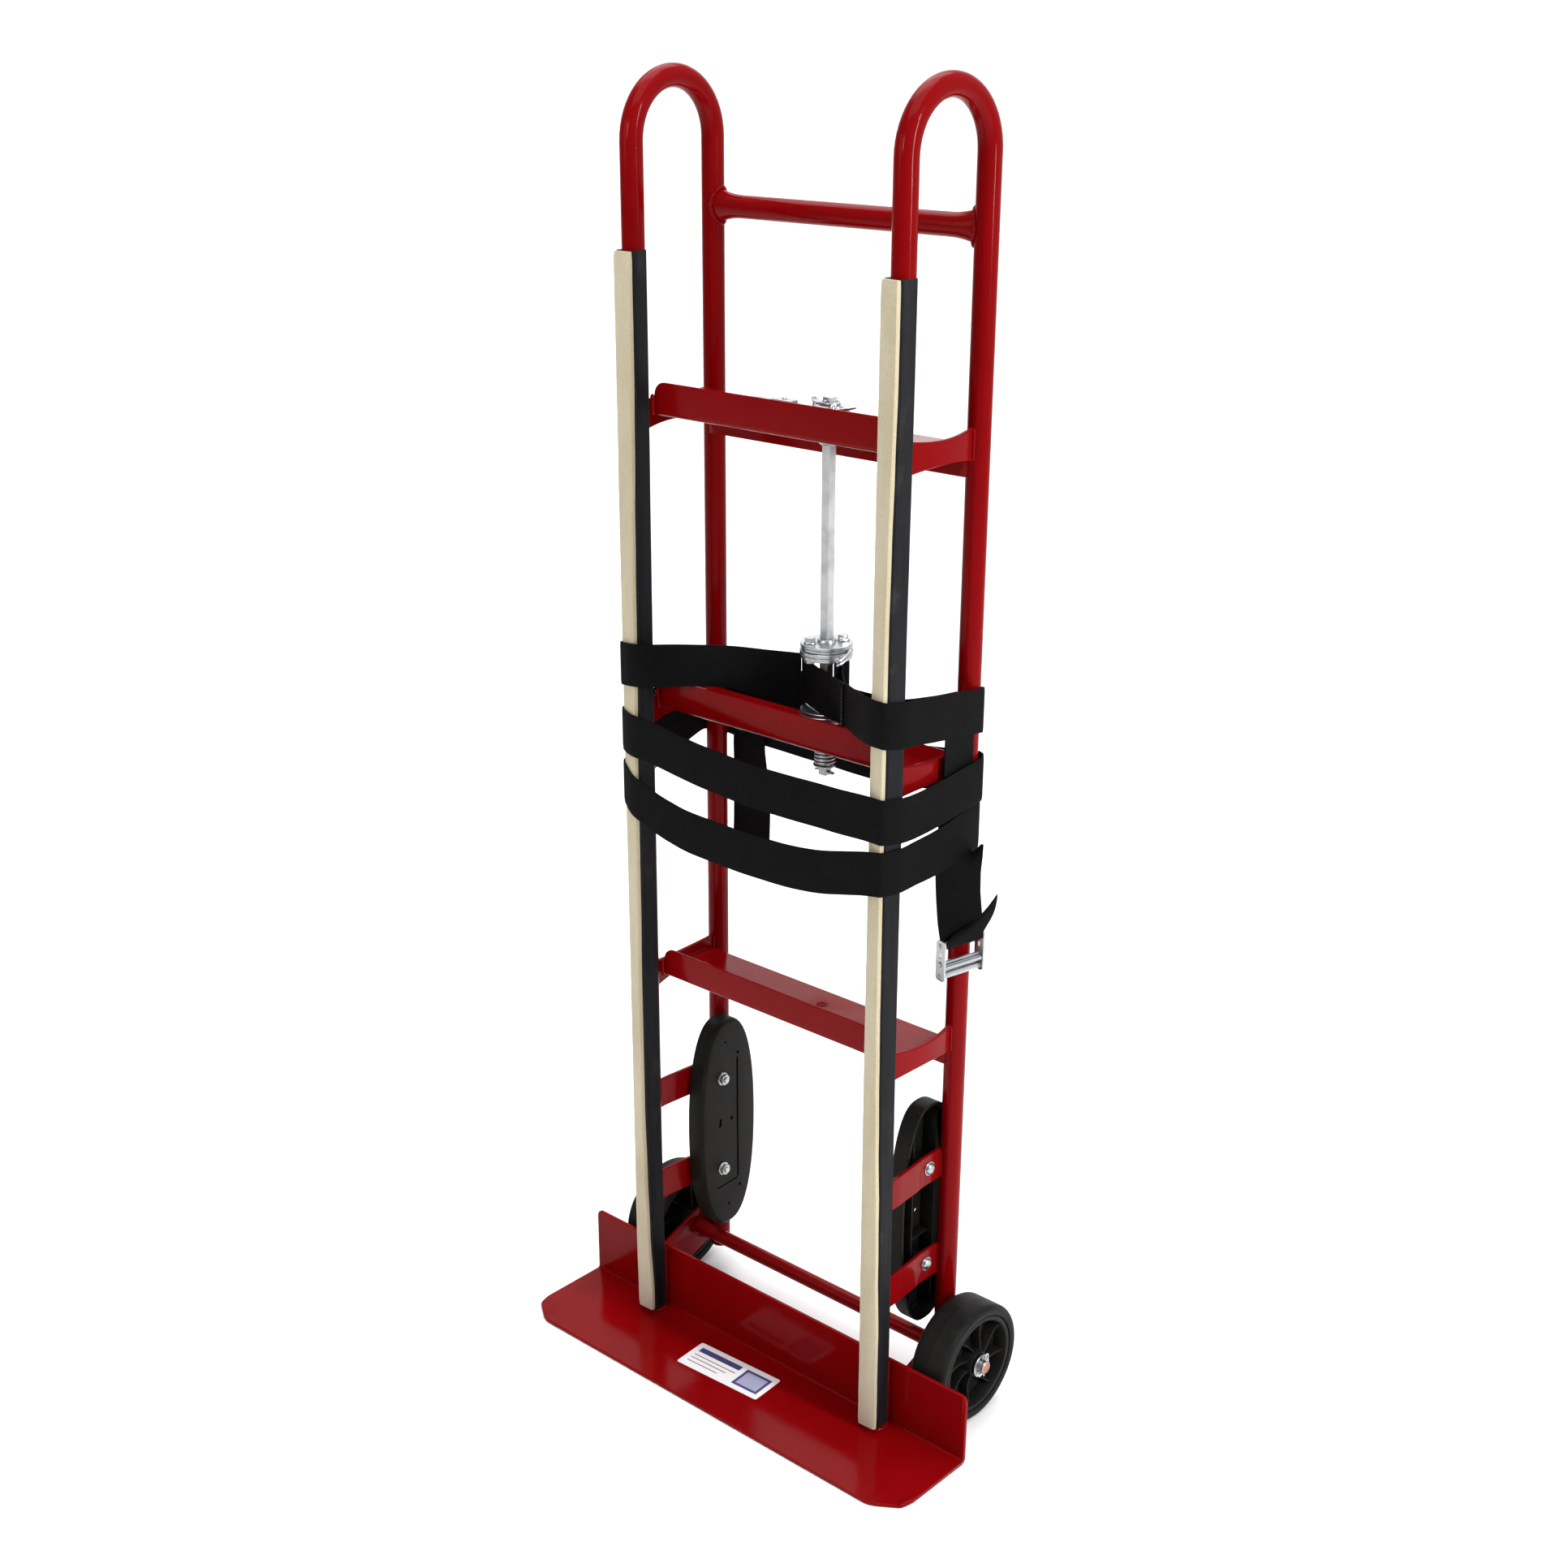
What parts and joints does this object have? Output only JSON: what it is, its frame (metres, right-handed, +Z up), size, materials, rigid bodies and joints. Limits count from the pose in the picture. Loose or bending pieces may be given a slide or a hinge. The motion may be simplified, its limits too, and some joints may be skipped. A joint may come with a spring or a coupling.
{
  "type": "appliance hand truck",
  "caption": "Tall two-wheel hand truck with a welded tube frame, wide toe plate, padded load rails, stair glides and a ratchet winch with a wound webbing belt",
  "frame": {"origin": "on the underside of the toe plate, midway between the two load rails and level with the axis of the front legs, at floor height", "axes": "+Z up, +X to the truck's right seen from the load side, +Y away from the load, towards the person pushing"},
  "size_m": [0.6096, 0.2909, 1.524],
  "materials": {
    "red_paint": "gloss",
    "zinc_plate": "satin",
    "pad_vinyl": "satin",
    "pad_felt": "matte",
    "belt_webbing": "matte",
    "glide_plastic": "satin",
    "hub_plastic": "satin",
    "tyre_rubber": "matte",
    "label_film": "gloss"
  },
  "bodies": {
    "frame": {"right_side_rail": "red_paint", "left_side_rail": "red_paint", "top_cross_tube": "red_paint", "toe_plate": "red_paint", "upper_cross_member": "red_paint", "right_upper_brace": "red_paint", "left_upper_brace": "red_paint", "middle_cross_member": "red_paint", "right_middle_brace": "red_paint", "left_middle_brace": "red_paint", "lower_cross_member": "red_paint", "right_lower_brace": "red_paint", "left_lower_brace": "red_paint", "right_stair_glide": "glide_plastic", "left_stair_glide": "glide_plastic", "right_glide_strap_upper": "red_paint", "left_glide_strap_upper": "red_paint", "right_glide_bolt_upper": "zinc_plate", "left_glide_bolt_upper": "zinc_plate", "right_glide_strap_lower": "red_paint", "left_glide_strap_lower": "red_paint", "right_glide_bolt_lower": "zinc_plate", "left_glide_bolt_lower": "zinc_plate", "right_wheel_bracket": "red_paint", "left_wheel_bracket": "red_paint", "axle_spacer_tube": "red_paint", "wheel_axle": "zinc_plate", "right_axle_washer": "zinc_plate", "left_axle_washer": "zinc_plate", "right_axle_cotter": "zinc_plate", "left_axle_cotter": "zinc_plate", "right_pad_channel": "pad_vinyl", "left_pad_channel": "pad_vinyl", "right_felt_strip": "pad_felt", "left_felt_strip": "pad_felt", "winch_collar": "zinc_plate", "rewind_spring": "zinc_plate", "pawl_pin": "zinc_plate", "belt_left_run": "belt_webbing", "belt_wraps": "belt_webbing", "belt_loose_end": "belt_webbing", "belt_tail": "belt_webbing", "toe_plate_label": "label_film"},
    "right_wheel": {"right_wheel_hub": "hub_plastic", "right_wheel_tyre": "tyre_rubber"},
    "left_wheel": {"left_wheel_hub": "hub_plastic", "left_wheel_tyre": "tyre_rubber"},
    "winch": {"winch_shaft": "zinc_plate", "shaft_cotter": "zinc_plate", "spool_upper_flange": "zinc_plate", "spool_lower_flange": "zinc_plate", "spool_pin_front": "zinc_plate", "spool_pin_rear": "zinc_plate", "ratchet_wheel": "zinc_plate", "belt_on_spool": "belt_webbing"},
    "pawl": {"holding_pawl": "zinc_plate"},
    "handle": {"ratchet_handle": "zinc_plate"},
    "buckle": {"buckle_frame": "zinc_plate"},
    "buckle_cam": {"buckle_cam": "zinc_plate"}
  },
  "joints": [
    {"name": "right_wheel_spin", "type": "hinge", "parent": "frame", "child": "right_wheel", "pos_m": [0.2383, 0.0993, 0.0746], "axis": [1, 0, 0], "continuous": true},
    {"name": "left_wheel_spin", "type": "hinge", "parent": "frame", "child": "left_wheel", "pos_m": [-0.2383, 0.0993, 0.0746], "axis": [1, 0, 0], "continuous": true},
    {"name": "winch_turn", "type": "hinge", "parent": "frame", "child": "winch", "pos_m": [0.0254, 0.0803, 1], "axis": [0, 0, 1], "continuous": true},
    {"name": "holding_pawl_swing", "type": "hinge", "parent": "frame", "child": "pawl", "pos_m": [0.068, 0.096, 1.172], "axis": [0, 0, 1], "range_deg": [-25, 0], "stiffness_Nm_per_rad": 0.05},
    {"name": "ratchet_handle_swing", "type": "hinge", "parent": "frame", "child": "handle", "pos_m": [0.0254, 0.0803, 1.18], "axis": [0, 0, 1], "range_deg": [-150, 12]},
    {"name": "buckle_swing", "type": "hinge", "parent": "frame", "child": "buckle", "pos_m": [0.206, 0.105, 0.6115], "axis": [0.2181, 0.9759, 0], "range_deg": [-70, 5]},
    {"name": "buckle_cam_turn", "type": "hinge", "parent": "buckle", "child": "buckle_cam", "pos_m": [0.206, 0.105, 0.589], "axis": [0.2181, 0.9759, 0], "range_deg": [-60, 0], "stiffness_Nm_per_rad": 0.05}
  ]
}
